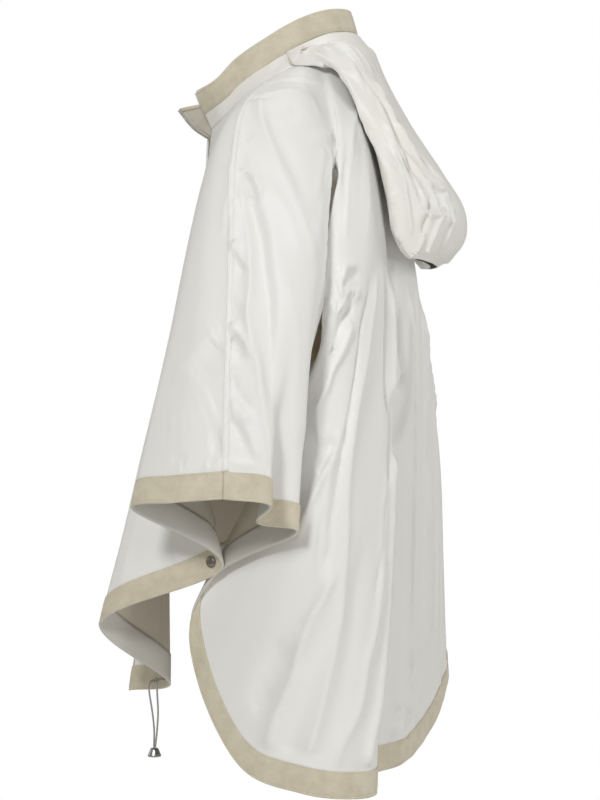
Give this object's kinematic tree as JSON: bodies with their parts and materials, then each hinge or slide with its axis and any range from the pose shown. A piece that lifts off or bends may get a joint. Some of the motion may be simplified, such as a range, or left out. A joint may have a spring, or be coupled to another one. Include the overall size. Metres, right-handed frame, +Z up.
{
  "type": "hooded cape",
  "caption": "Worn, open-bottomed rain cape with a stand collar, a collapsed hood on the back, trimmed hems, wide arm openings and a zip with a swinging pull.",
  "frame": {"origin": "middle of the neck at the height of the shoulders, where the wearer holds the cape", "axes": "+Z up, the wearer faces -Y, +X is the wearer's left"},
  "size_m": [0.6204, 0.4216, 0.9047],
  "materials": {
    "satin": "off-white satin rain cloth with a soft sheen",
    "hood_satin": "slightly creamier satin",
    "suede": "matt cream suede",
    "facing": "grey-white satin facing",
    "steel": "nickel-plated zip, eyelets and toggle",
    "snap_metal": "dark plated snap cap",
    "cord": "silver-grey round elastic cord"
  },
  "bodies": {
    "cape": {"front_left": "satin", "front_right": "satin", "back": "satin", "front_left_hem_band": "suede", "front_right_hem_band": "suede", "back_hem_band": "suede", "front_left_hem_facing": "facing", "front_right_hem_facing": "facing", "back_hem_facing": "facing", "collar_stand": "hood_satin", "collar_trim": "suede", "collar_facing": "suede", "hood_left": "hood_satin", "hood_right": "hood_satin", "zip_chain": "steel", "zip_side_left": "steel", "zip_side_right": "steel", "zip_slider": "steel", "snap_cap_left": "snap_metal", "snap_cap_right": "snap_metal", "eyelet_1": "steel", "eyelet_2": "steel", "cord_toggle": "steel", "drawcord_front": "cord", "drawcord_back": "cord"},
    "pull_tab": {"zip_pull": "steel"}
  },
  "joints": [
    {"name": "pull_tab_swing", "type": "hinge", "parent": "cape", "child": "pull_tab", "pos_m": [0, -0.1146, -0.1816], "axis": [-1, 0, 0], "range_deg": [0, 165]}
  ]
}
